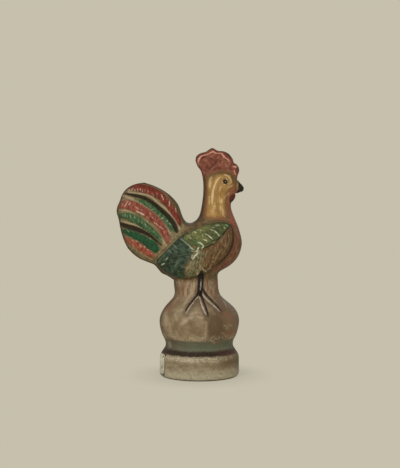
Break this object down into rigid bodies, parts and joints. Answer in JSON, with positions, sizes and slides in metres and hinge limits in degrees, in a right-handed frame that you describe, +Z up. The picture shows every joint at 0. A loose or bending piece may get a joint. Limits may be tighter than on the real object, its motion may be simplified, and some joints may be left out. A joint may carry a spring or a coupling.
{
  "type": "chalkware rooster figurine",
  "caption": "Hollow-cast painted plaster rooster in two half-castings on a turned ball foot, with a poured base plug and a filler patch at the back.",
  "frame": {"origin": "middle of the foot's underside, where it rests", "axes": "+X the way the beak points, +Y the bird's left, +Z up; the joint between the half-castings lies in the XZ plane"},
  "size_m": [0.0928, 0.0576, 0.1639],
  "materials": {
    "painted_plaster_right": "cast plaster, sized, painted in water colours and varnished; satin, worn",
    "painted_plaster_left": "cast plaster, sized, painted in water colours and varnished; satin, worn",
    "plaster_slip": "unpainted plaster slip, matt",
    "plaster_plug": "poured plaster, matt, rubbed by the shelf",
    "plaster_patch": "bare plaster filler, matt, chalky"
  },
  "bodies": {
    "root": {"right_half": "painted_plaster_right", "left_half": "painted_plaster_left", "seam_slip": "plaster_slip", "base_plug": "plaster_plug", "back_patch": "plaster_patch"}
  },
  "joints": []
}
